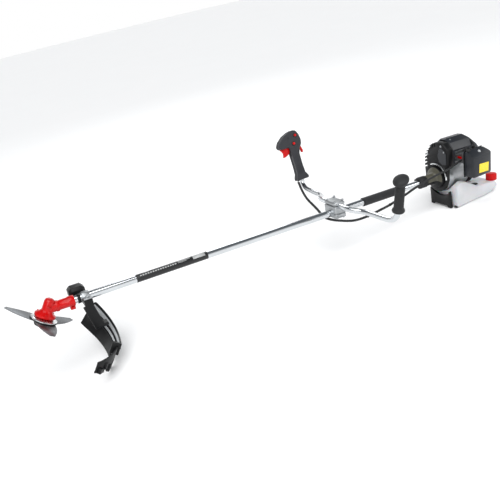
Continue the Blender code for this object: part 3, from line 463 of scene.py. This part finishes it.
def hub_point(theta, r, h):
    """A point by its angle and distance about the blade's axis and its height over the blade."""
    a = math.radians(theta)
    return Vector((r * math.cos(a), -r * math.sin(a), BLADE_H + h))


class MakeGuard(bpy.types.Operator):
    """The guard, its extension, mount, clamp, cutter and moulded ribs"""
    bl_idname = "cutter.guard"
    bl_label = "Guard"

    def execute(self, context):
        sizes = context.scene.cutter_sizes
        refined("black", sizes.edge, "guard_body", "guard_extension", "guard_mount", crease=30)
        refined("casting", sizes.cast_edge, "guard_clamp")
        refined("screw", sizes.fine_edge, "guard_bolt", "line_cutter")
        # Three lines run along the guard: its ridge, its groove and its crest
        lines = {"ridge": (197, 40, 20, -38), "groove": (207, 37, 33, -44),
                 "crest": (221, 34, 58, -64)}

        def along(line, s):
            r, more_r, h, more_h = lines[line]
            return hub_point(-30 + 47 * s, r + more_r * s, h + more_h * s)

        shares = [i / 20 for i in range(21)]
        for name in lines:
            rod(f"guard_rib_{name}", "black", [along(name, s) for s in shares], 3.0, 10,
                parent=SPINDLE)
        # Two light strips between the ribs in the band finish: painted highlight, not a second material
        for name, first, second in (("inner", "ridge", "groove"), ("outer", "groove", "crest")):
            bm = bmesh.new()
            rails = []
            for share in (0.24, 0.76):
                points = [along(first, s).lerp(along(second, s), share) for s in shares]
                verts = [bm.verts.new(p) for p in points]
                rails += [bm.edges.new(pair) for pair in zip(verts, verts[1:])]
            bmesh.ops.bridge_loops(bm, edges=rails)
            piece(f"guard_painted_highlight_{name}", put(bm, SPINDLE), "band", wall=9.0, middle=True)
        piece("guard_joint", put(block((30, 12, 40), 1.2), SPINDLE, hub_point(19.5, 243, -22),
                                 (0, 0, -19.5)), "black")
        for i, (theta, r, h, size) in enumerate(((24.5, 245, -66, (9, 16, 30)),
                                                 (30.5, 243, -74, (12, 13, 24)),
                                                 (37, 238, -62, (10, 15, 20)),
                                                 (42.5, 232, -76, (13, 15, 18)))):
            spot = hub_point(theta, r, h)
            piece(f"extension_block_{i}", put(block(size, 1.2), SPINDLE, spot, (0, 0, -theta)),
                  "black")
        return {"FINISHED"}


class MakeHandlebar(bpy.types.Operator):
    """The chromed handlebar in its cast clamp"""
    bl_idname = "cutter.handlebar"
    bl_label = "Handlebar and clamp"

    def execute(self, context):
        sizes = context.scene.cutter_sizes
        bar = [(1108, 44, 31), (1108, 84, 31), (1118, 108, 28), (1136, 132, 24), (1146, 162, 22),
               (1149, 210, 22), (1151, 262, 23), (1155, 288, 29)]
        route = [(1108, 0, 31)]
        for side, grip, foot in ((1, RIGHT_GRIP, 34), (-1, LEFT_GRIP, 43)):
            to_tube = TUBE.inverted() @ grip
            half = [(x, side * y, z) for x, y, z in bar] + [(1159, side * 302, foot)]
            half += [tuple(to_tube @ Vector((0, 0, h * MM)) / MM) for h in (0, 24, 50, 76, 102)]
            route = route + half if side > 0 else half[::-1] + route
        rod("handlebar_bent", "chrome", eased(route, 7), 10.5, 36, stands_for=("handlebar",))
        refined("casting", 1.6 * sizes.cast_edge, "handlebar_clamp_base",
                "handlebar_clamp_middle", "handlebar_clamp_cap")
        refined("screw", sizes.fine_edge, "handlebar_bolt_left", "handlebar_bolt_right")
        for side in (-1, 1):
            for x, z in ((1093, 47), (1093, -17.2)):
                screw(f"clamp_screw_{'near' if side < 0 else 'far'}_{'top' if z > 0 else 'low'}",
                      TUBE, (x, 26 * side, z), (0, 0, 0) if z > 0 else (180, 0, 0), 3.2)
        return {"FINISHED"}


class MakeThrottleHandle(bpy.types.Operator):
    """The throttle handle with its trigger, lock lever and buttons"""
    bl_idname = "cutter.throttle_handle"
    bl_label = "Throttle handle"

    def execute(self, context):
        sizes = context.scene.cutter_sizes
        to_grip = RIGHT_GRIP.inverted()
        for node in ("throttle_handle_inner", "throttle_handle_outer"):
            bm = welded(node)
            face_at = 16.3 * MM
            rim = [e for e in bm.edges if len(e.link_faces) == 2
                   and min(abs((to_grip @ v.co).y) for v in e.verts) > face_at
                   and e.calc_face_angle(0) > math.radians(60)
                   and e.calc_length() > 3 * MM]
            bmesh.ops.bevel(bm, geom=rim, offset=3.2 * MM, segments=4, profile=0.5,
                            affect="EDGES", material=-1, clamp_overlap=True)
            piece(node + "_finished", bm, "handle", stands_for=(node,), crease=32, closed=False)
        refined("red", 2.4 * sizes.edge, "throttle_trigger", "throttle_lock_lever")
        refined("red", sizes.edge, "stop_button", "throttle_hold_button")
        for side in (-1, 1):
            for i in range(6):
                rib = block((1.5, 1.6, 84 - 3 * abs(i - 2)), 0.6)
                put(rib, RIGHT_GRIP, (-12.5 + 5.4 * i, 16.7 * side, 66))
                piece(f"handle_rib_{'near' if side < 0 else 'far'}_{i}", rib, "handle")
        for name, x, z in (("stop", 20, 184), ("hold", 4, 153)):
            rim = [(6.0, -0.6), (6.2, 1.2), (6.9, 1.9), (8.4, 1.5), (9.2, -0.6), (6.0, -0.6)]
            piece(f"button_rim_{name}", put(turned(rim, 32), RIGHT_GRIP, (x, -16.7, z),
                                            ALONG_NEAR), "rubber")
        for i, (x, z) in enumerate(((15.84, 118), (-12.96, 181), (18.72, 16))):
            screw(f"handle_screw_{i}", RIGHT_GRIP, (x, -16.2, z), ALONG_NEAR, 2.2,
                  finish="dark")
        return {"FINISHED"}


class MakeLeftGrip(bpy.types.Operator):
    """The ribbed rubber grip with its mushroom cap"""
    bl_idname = "cutter.left_grip"
    bl_label = "Left grip"

    def execute(self, context):
        pitch = context.scene.cutter_sizes.grip_pitch / MM
        profile = [(10.9, 0), (20, 0), (21.6, 1), (22.5, 4), (21.4, 8.4), (18.2, 13)]
        rings = int((108 - 16) // pitch)
        for i in range(rings):
            z = 16 + pitch * i
            r = 17.3 - 0.7 * i / rings
            profile += [(r - 1.1, z), (r - 1.1, z + 1.3), (r, z + 2.1), (r, z + pitch - 0.8)]
        profile += [(17.6, 109), (21, 112.4), (25, 116), (26.7, 120), (27, 124), (25.6, 128),
                    (22, 131.3), (16, 133.8), (12, 135), (5, 136), (0, 136.2)]
        bm = turned(profile, 40)
        cap_foot, cap_lean = 109, 0.26
        for v in bm.verts:
            if v.co.z > cap_foot:
                v.co.z += cap_lean * v.co.x
        piece("left_grip_ribbed", put(bm, LEFT_GRIP), "rubber", stands_for=("left_grip",),
              crease=50)
        return {"FINISHED"}


class MakeCables(bpy.types.Operator):
    """The corrugated loom from the handle to the engine, and the throttle cable"""
    bl_idname = "cutter.cables"
    bl_label = "Loom and cable"

    def execute(self, context):
        route = eased([(1140, 304, 46), (1136, 290, 34), (1124, 250, 17), (1112, 200, 2),
                       (1094, 110, -10), (1080, 40, -22), (1083, 0, -24), (1100, -36, -25),
                       (1150, -58, -34), (1214, -60, -35), (1276, -55, -30), (1329, -50, -25),
                       (1408, -45, -9), (1462, -40, 3), (1498, -37, 8)],
                      context.scene.cutter_sizes.loom_pitch / MM / 2)
        radii = [5.1 if i % 2 else 4.2 for i in range(len(route))]
        piece("cable_loom_corrugated", put(swept(route, radii, 12), TUBE), "rubber",
              stands_for=("cable_loom",), crease=25)
        route = eased([(1498.8, -37, 8.2), (1530, -38, 17), (1570, -50, 31), (1606, -71, 46),
                       (1640, -76, 60), (1674, -80, 71)], 7)
        rod("throttle_cable_sheath", "rubber", route, 3.8, 14, stands_for=("throttle_cable",))
        for name, at in (("front", 0.5), ("rear", 0.93)):
            i = int(at * (len(route) - 1))
            tie = eased([route[i], route[i] + (route[i + 1] - route[i]).normalized() * 7], 7)
            rod(f"cable_ferrule_{name}", "dark", tie, 4.7, 16)
        for i, (low, high) in enumerate((((1153, 302, 60), (1140, 299, 44)),
                                         ((1146, 296, 58), (1133, 286, 33)))):
            lean = (Vector(low) + Vector(high)) / 2 + Vector((-9, 5, 2 + 3 * i))
            rod(f"button_wire_{i}", "rubber", eased([low, lean, high], 4), 1.2, 8)
        for i, (x, y, z) in enumerate(((1214, -60, -35), (1329, -50, -25))):
            band = [(5.0, -2), (6.0, -2), (6.0, 2), (5.0, 2), (5.0, -2)]
            piece(f"loom_tie_{i}", put(turned(band, 24), TUBE, (x, y, z), ALONG_X), "black")
        return {"FINISHED"}


class MakeEngine(bpy.types.Operator):
    """The engine: clutch case, fan housing, cover, crankcase, cylinder, muffler and starter"""
    bl_idname = "cutter.engine"
    bl_label = "Engine"

    def execute(self, context):
        sizes = context.scene.cutter_sizes
        bell = welded("clutch_case")
        to_tube = TUBE.inverted()
        # Olive before NECK_END and above PAINTED_SHADE_BELOW; black past NECK_END, and black under the neck as
        # painted shade
        for face in bell.faces:
            middle = to_tube @ face.calc_center_median()
            face.material_index = int(middle.x > NECK_END * MM or middle.z < PAINTED_SHADE_BELOW * MM)
        case = piece("clutch_case_finished", bell, "olive", "frame", ("clutch_case",),
                     sizes.cast_edge, 30, closed=False)
        case.data.materials.append(FINISH["black"])
        refined("rubber", sizes.edge, "tube_clamp")
        refined("black", sizes.edge, "fan_housing", crease=30)
        refined("panel", 1.6 * sizes.edge, "engine_cover", crease=30)
        refined("black", sizes.edge, "recoil_starter", crease=30)
        refined("casting", sizes.cast_edge, "crankcase", "cylinder", crease=30)
        refined("dark", 2 * sizes.cast_edge, "muffler")
        refined("black", 2 * sizes.edge, "starter_handle")
        dressed("ceramic", "spark_plug")
        dressed("casting", "piston", "flywheel_fan")
        dressed("dark", "crankshaft", "clutch_rotor", "clutch_drum")
        lip = [(55.5, 0), (58.8, -1.2), (60.6, 0), (60.6, 4), (55.5, 4), (55.5, 0)]
        piece("crankcase_lip", put(turned(lip, 40, 118, 152), TUBE, (1607.6, 0, 0), ALONG_X),
              "lip", crease=40)
        panel = [(-60, 62), (-60, 104), (-38, 126), (-22, 126), (-12, 92), (-20, 70), (-36, 60)]
        piece("front_panel", put(slab(panel, 3), TUBE, (HOUSING_FRONT, 0, 0), (0, 0, 90)), "panel",
              soften=1.6 * sizes.edge)
        for i, (y, z) in enumerate(((-47, 112), (-30, 134), (48, 92), (40, 20), (-58, 40))):
            screw(f"housing_bolt_{i}", TUBE, (1611.8, y, z), (0, -90, 0), 3)
        for i, (x, y, z, lean) in enumerate(((1668, -24, 148.2, 25), (1668, 30, 138, -41),
                                             (1728, 30, 138, -41))):
            screw(f"cover_bolt_{i}", TUBE, (x, y, z), (lean, 0, 0), 2.6)
        starter_face, ring_r = 1774, 42
        for i, turn in enumerate(range(30, 360, 60)):
            a = math.radians(turn)
            screw(f"starter_screw_{i}", TUBE,
                  (starter_face, ring_r * math.cos(a), ring_r * math.sin(a)),
                  ALONG_X, 2.4, finish="dark")
        lead = eased([(1740, -20, 128), (1752, -40, 132), (1758, -62, 112), (1752, -66, 88)], 5)
        rod("ignition_lead", "rubber", lead, 3.2, 12)
        return {"FINISHED"}


class MakeIntake(bpy.types.Operator):
    """The carburettor with its levers, and the air filter's box with a plain label"""
    bl_idname = "cutter.intake"
    bl_label = "Carburettor and air filter"

    def execute(self, context):
        sizes = context.scene.cutter_sizes
        refined("panel", 1.5 * sizes.edge, "air_filter_cover", crease=30)
        refined("black", sizes.edge, "air_filter_base")
        dressed("foam", "air_filter_element")
        refined("casting", sizes.cast_edge, "carburettor")
        refined("red", sizes.fine_edge, "carburettor_throttle_arm")
        refined("black", sizes.fine_edge, "choke_lever")
        refined("tank", sizes.fine_edge, "primer_bulb")
        piece("air_box_label", put(block((54, 0.8, 36), 0.3, 1), AIR_BOX, (4, -57.2, -18),
                                   (0, 4, 0)), "label")
        seam = block((105.2, 2.4, 105.2), 0.6)
        piece("air_box_seam", put(seam, AIR_BOX, (0, -6.4, 0)), "black")
        screw("air_box_screw", AIR_BOX, (8, -32, 43.8), (23, 0, 0), 4.6, finish="lip")
        knob = [(0, 9), (6, 9), (8, 7.4), (8, 1), (6, -1), (0, -1)]
        piece("air_box_knob", put(turned(knob, 24), AIR_BOX, (-38, -14, 50), (23, 0, 0)),
              "rubber")
        return {"FINISHED"}


class MakeTank(bpy.types.Operator):
    """The fuel tank with its foot, grommet and ribbed cap"""
    bl_idname = "cutter.tank"
    bl_label = "Tank and cap"

    def execute(self, context):
        sizes = context.scene.cutter_sizes
        refined("tank", sizes.tank_edge, "fuel_tank", crease=30)
        grommet = [(0, 3.6), (11, 3.6), (13.5, 2.2), (15, -1.5), (0, -1.5)]
        bm = turned(grommet, 32)
        bmesh.ops.scale(bm, vec=(1.2, 0.85, 1), verts=bm.verts)
        piece("tank_grommet", put(bm, TUBE, (1758, -60, -57.6), (0, 4, 0)), "rubber")
        corner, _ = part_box("fuel_tank")
        piece("tank_foot", put(block((20, 14, 8), 2), Matrix.Translation(corner),
                               (5, 12, 3.6)), "rubber")
        bm = bmesh.new()
        made = bmesh.ops.create_circle(bm, cap_ends=True, radius=22, segments=96)["verts"]
        inner = [v for i, v in enumerate(made) if i % 4 in (0, 1)]
        bmesh.ops.scale(bm, vec=(0.94, 0.94, 1), verts=inner)
        heights = ((2, 1.0), (20, 1.0), (3.5, 0.93), (1.5, 0.82))
        faces = list(bm.faces)
        for rise, shrink in heights:
            drawn = bmesh.ops.extrude_face_region(bm, geom=faces)["geom"]
            faces = [g for g in drawn if isinstance(g, bmesh.types.BMFace)]
            top = [g for g in drawn if isinstance(g, bmesh.types.BMVert)]
            bmesh.ops.translate(bm, vec=(0, 0, rise), verts=top)
            bmesh.ops.scale(bm, vec=(shrink, shrink, 1), verts=top)
        piece("fuel_cap_ribbed", put(bm, TUBE, (1854, -60, -62)), "red", "fuel_cap",
              ("fuel_cap",), crease=40)
        return {"FINISHED"}


class MakeStand(bpy.types.Operator):
    """The stand under the engine"""
    bl_idname = "cutter.stand"
    bl_label = "Stand"

    def execute(self, context):
        refined("black", 1.5 * context.scene.cutter_sizes.edge, "stand_bracket", crease=30)
        low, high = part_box("stand_bracket")
        middle = (low.y + high.y) / 2
        for i, share in enumerate((-0.62, -0.2, 0.2, 0.62)):
            spot = Vector((low.x + 1.2 * MM, middle + share * (high.y - middle), low.z + 27 * MM))
            rib = block((3, 2.6, 34), 0.9)
            piece(f"stand_rib_{i}", put(rib, Matrix.Translation(spot)), "black")
        return {"FINISHED"}


# ---- studio -----------------------------------------------------------------------------------

def area_light(name, at, aim, size, power):
    """A soft box in metres, pointed at a place on the object."""
    light = bpy.data.lights.new(name, "AREA")
    light.size, light.energy = size, power
    obj = bpy.data.objects.new(name, light)
    obj.matrix_world = (Matrix.Translation(Vector(at))
                        @ (Vector(aim) - Vector(at)).to_track_quat("-Z", "Y").to_matrix().to_4x4())
    bpy.context.scene.collection.objects.link(obj)


class MakeStudio(bpy.types.Operator):
    """A plain pale floor, soft boxes, a bright surround and the camera"""
    bl_idname = "cutter.studio"
    bl_label = "Studio"

    def execute(self, context):
        scene = context.scene
        bm = bmesh.new()
        bmesh.ops.create_circle(bm, cap_ends=True, radius=14, segments=64)
        mesh = bpy.data.meshes.new("floor")
        bm.to_mesh(mesh)
        bm.free()
        floor = bpy.data.objects.new("floor", mesh)
        mesh.materials.append(surface("Pale_studio_floor", linear("#FAFAFA"), 0.99, (0.85, 0.9),
                                      4.0, 0.0, patch=400))
        scene.collection.objects.link(floor)
        floor.location.z = -0.001

        # Bright all round at eye height and grey overhead, so chrome shows a dark upper side
        world = bpy.data.worlds.new("studio")
        world.use_nodes = True
        tree = world.node_tree
        tree.nodes.clear()
        where = add(tree, "ShaderNodeTexCoord")
        split = add(tree, "ShaderNodeSeparateXYZ", None, {0: where.outputs["Generated"]})
        ramp = add(tree, "ShaderNodeValToRGB", None, {0: split.outputs["Z"]})
        ramp.color_ramp.elements[0].position = 0.2
        ramp.color_ramp.elements[0].color = linear("#FFFFFF")
        ramp.color_ramp.elements[1].position = 0.62
        ramp.color_ramp.elements[1].color = linear("#6E7276")
        glow = add(tree, "ShaderNodeBackground", {"Strength": 1.0}, {"Color": ramp.outputs[0]})
        add(tree, "ShaderNodeOutputWorld", None, {"Surface": glow.outputs[0]})
        scene.world = world

        area_light("key_box", (-1.9, -2.6, 2.3), (-0.1, 0, 0.2), 1.8, 34)
        area_light("rear_box", (0.9, 2.4, 2.2), (0.2, 0, 0.2), 1.6, 26)
        area_light("side_box", (2.6, -1.7, 1.3), (0.7, 0, 0.25), 1.2, 14)
        even = bpy.data.lights.new("ceiling_panel", "SUN")
        even.energy, even.angle = 2.3, math.radians(60)
        obj = bpy.data.objects.new("ceiling_panel", even)
        obj.matrix_world = turned_to(turn=(24, -14, 0))
        scene.collection.objects.link(obj)
        scene.view_settings.view_transform = "Standard"

        camera = bpy.data.cameras.new("camera")
        camera.lens, camera.sensor_width = 48.0, 36.0
        obj = bpy.data.objects.new("camera", camera)
        # In the tube's frame: near the middle of the tube, two metres out and looking down
        standing = (-0.1969, -2.0177, 0.8871)
        right, up = Vector((0.8722, -0.4671, -0.1450)), Vector((0.3009, 0.2788, 0.9120))
        looking = Matrix((right, up, right.cross(up))).transposed().to_4x4()
        obj.matrix_world = TUBE @ Matrix.Translation(standing) @ looking
        scene.collection.objects.link(obj)
        scene.camera = obj
        return {"FINISHED"}


PIECES = (MakeTube, MakeGearhead, MakeBladeSet, MakeGuard, MakeHandlebar, MakeThrottleHandle,
          MakeLeftGrip, MakeCables, MakeEngine, MakeIntake, MakeTank, MakeStand, MakeStudio)


class CutterPanel(bpy.types.Panel):
    """Lists the pieces, colours and sizes"""
    bl_idname = "VIEW3D_PT_brush_cutter"
    bl_label = "Brush cutter"
    bl_space_type = "VIEW_3D"
    bl_region_type = "UI"
    bl_category = "Brush cutter"

    def draw(self, context):
        for kind in PIECES:
            self.layout.operator(kind.bl_idname)
        for group in (context.scene.cutter_sizes, context.scene.cutter_colours):
            for name in group.bl_rna.properties.keys():
                if name not in ("rna_type", "name"):
                    self.layout.prop(group, name)


CLASSES = (CutterColours, CutterSizes, *PIECES, CutterPanel)


def register():
    for kind in CLASSES:
        bpy.utils.register_class(kind)
    bpy.types.Scene.cutter_colours = bpy.props.PointerProperty(type=CutterColours)
    bpy.types.Scene.cutter_sizes = bpy.props.PointerProperty(type=CutterSizes)


def unregister():
    del bpy.types.Scene.cutter_sizes
    del bpy.types.Scene.cutter_colours
    for kind in reversed(CLASSES):
        bpy.utils.unregister_class(kind)


def main():
    register()
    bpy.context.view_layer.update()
    mix_finishes(bpy.context.scene.cutter_colours)
    bpy.ops.cutter.tube()
    bpy.ops.cutter.gearhead()
    bpy.ops.cutter.blade_set()
    bpy.ops.cutter.guard()
    bpy.ops.cutter.handlebar()
    bpy.ops.cutter.throttle_handle()
    bpy.ops.cutter.left_grip()
    bpy.ops.cutter.cables()
    bpy.ops.cutter.engine()
    bpy.ops.cutter.intake()
    bpy.ops.cutter.tank()
    bpy.ops.cutter.stand()
    bpy.ops.cutter.studio()


if __name__ == "__main__":
    main()
